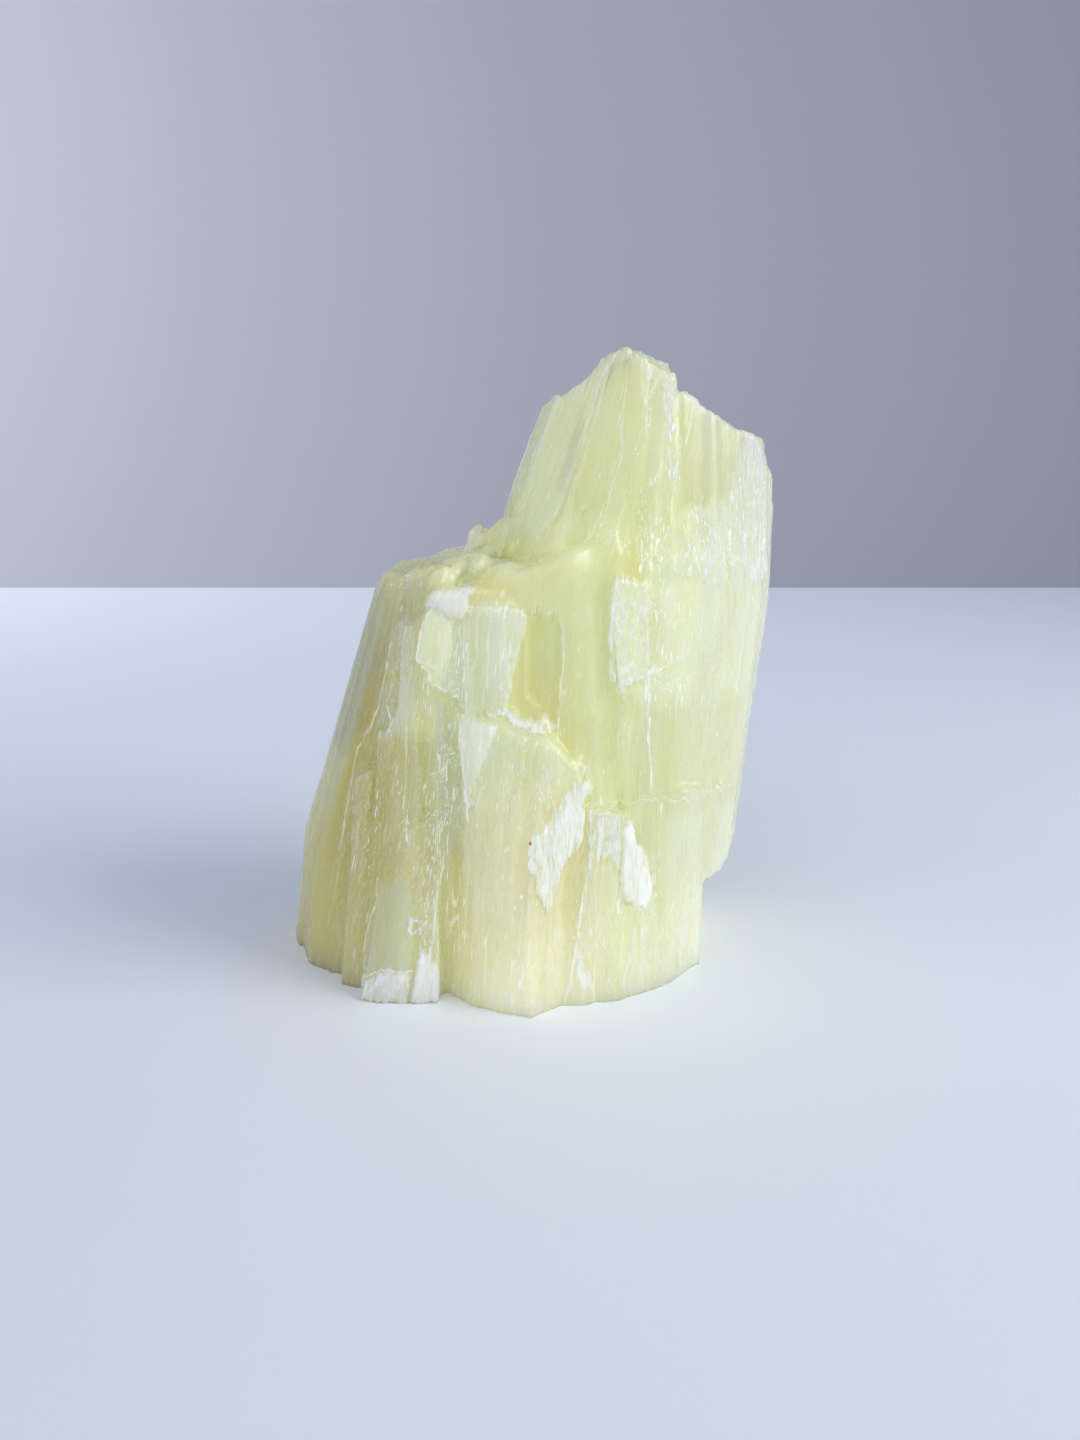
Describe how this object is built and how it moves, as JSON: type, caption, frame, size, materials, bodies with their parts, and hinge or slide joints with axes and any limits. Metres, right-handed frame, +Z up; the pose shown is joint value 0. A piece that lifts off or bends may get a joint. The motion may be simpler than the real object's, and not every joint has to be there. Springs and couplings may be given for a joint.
{
  "type": "lemon calcite chunk",
  "caption": "Rough broken chunk of fibrous, milky lemon-yellow calcite that stands upright on its fractured foot, with a leaning peak and a lower shoulder.",
  "frame": {"origin": "middle of the bottom face of the bounding box, on the level foot", "axes": "+Z up from the foot to the peak, +X from the low shoulder to the peak, +Y from the face with the stepped blades to the back"},
  "size_m": [0.0858, 0.0586, 0.1033],
  "materials": {
    "calcite": "milky translucent, satin, ribbed along the grain"
  },
  "bodies": {
    "root": {"calcite_chunk": "calcite"}
  },
  "joints": []
}
